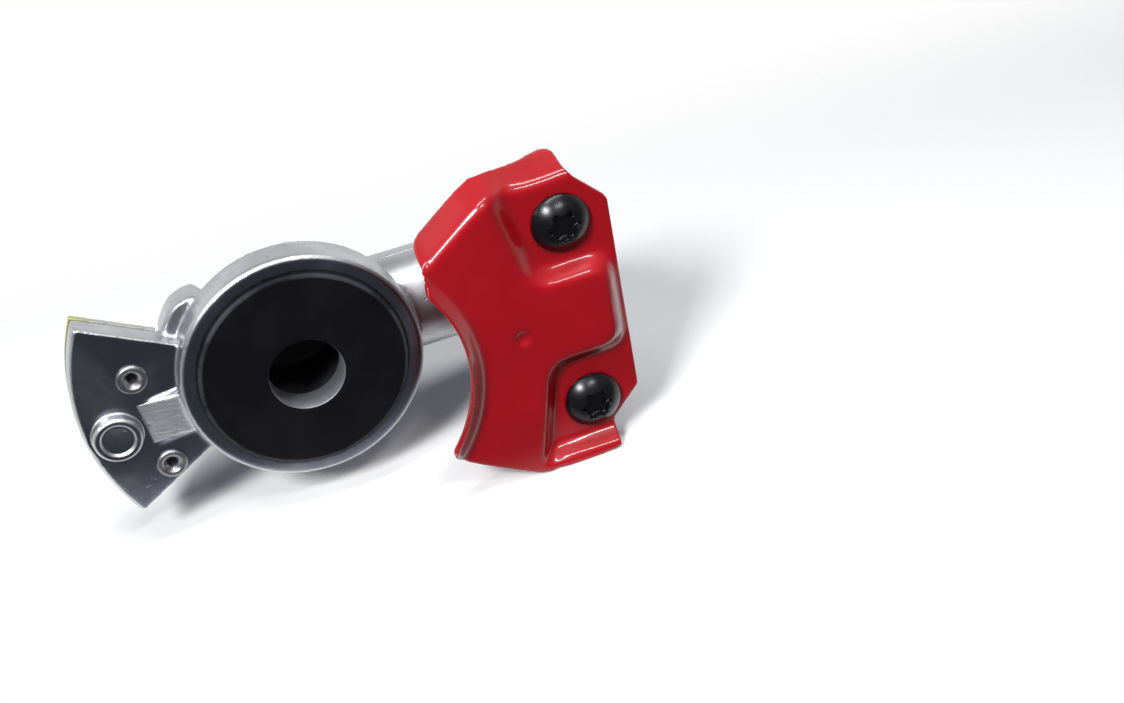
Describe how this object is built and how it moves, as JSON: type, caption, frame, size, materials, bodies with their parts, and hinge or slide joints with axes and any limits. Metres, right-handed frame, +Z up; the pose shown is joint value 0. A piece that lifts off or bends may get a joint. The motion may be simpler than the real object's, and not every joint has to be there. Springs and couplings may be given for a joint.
{
  "type": "gladhand air brake coupler",
  "caption": "Gladhand coupler for a vehicle air brake line: cast body with tongue and neck, rubber face seal, formed red hook plate and tapped hose port.",
  "frame": {"origin": "centre of the coupling face, on the axis of the seal's hole, level with the disc's bare metal ring", "axes": "+Z up as the part stands in the picture, -Y out of the coupling face, +X along the neck towards the hose port"},
  "size_m": [0.1271, 0.0552, 0.0766],
  "materials": {
    "cast_aluminium": "die-cast, tumbled, satin",
    "seal_rubber": "matt black",
    "sleeve_metal": "dull light grey with a bright edge",
    "red_paint": "glossy red powder coat",
    "black_screws": "black oxide, slightly glossy",
    "zinc_plate": "yellow-passivated zinc",
    "rivet_steel": "bright zinc"
  },
  "bodies": {
    "root": {"body": "cast_aluminium", "seal": "seal_rubber", "seal_sleeve": "sleeve_metal", "hook_plate": "red_paint", "hook_screws": "black_screws", "wear_plate": "zinc_plate", "wear_rivets": "rivet_steel"}
  },
  "joints": []
}
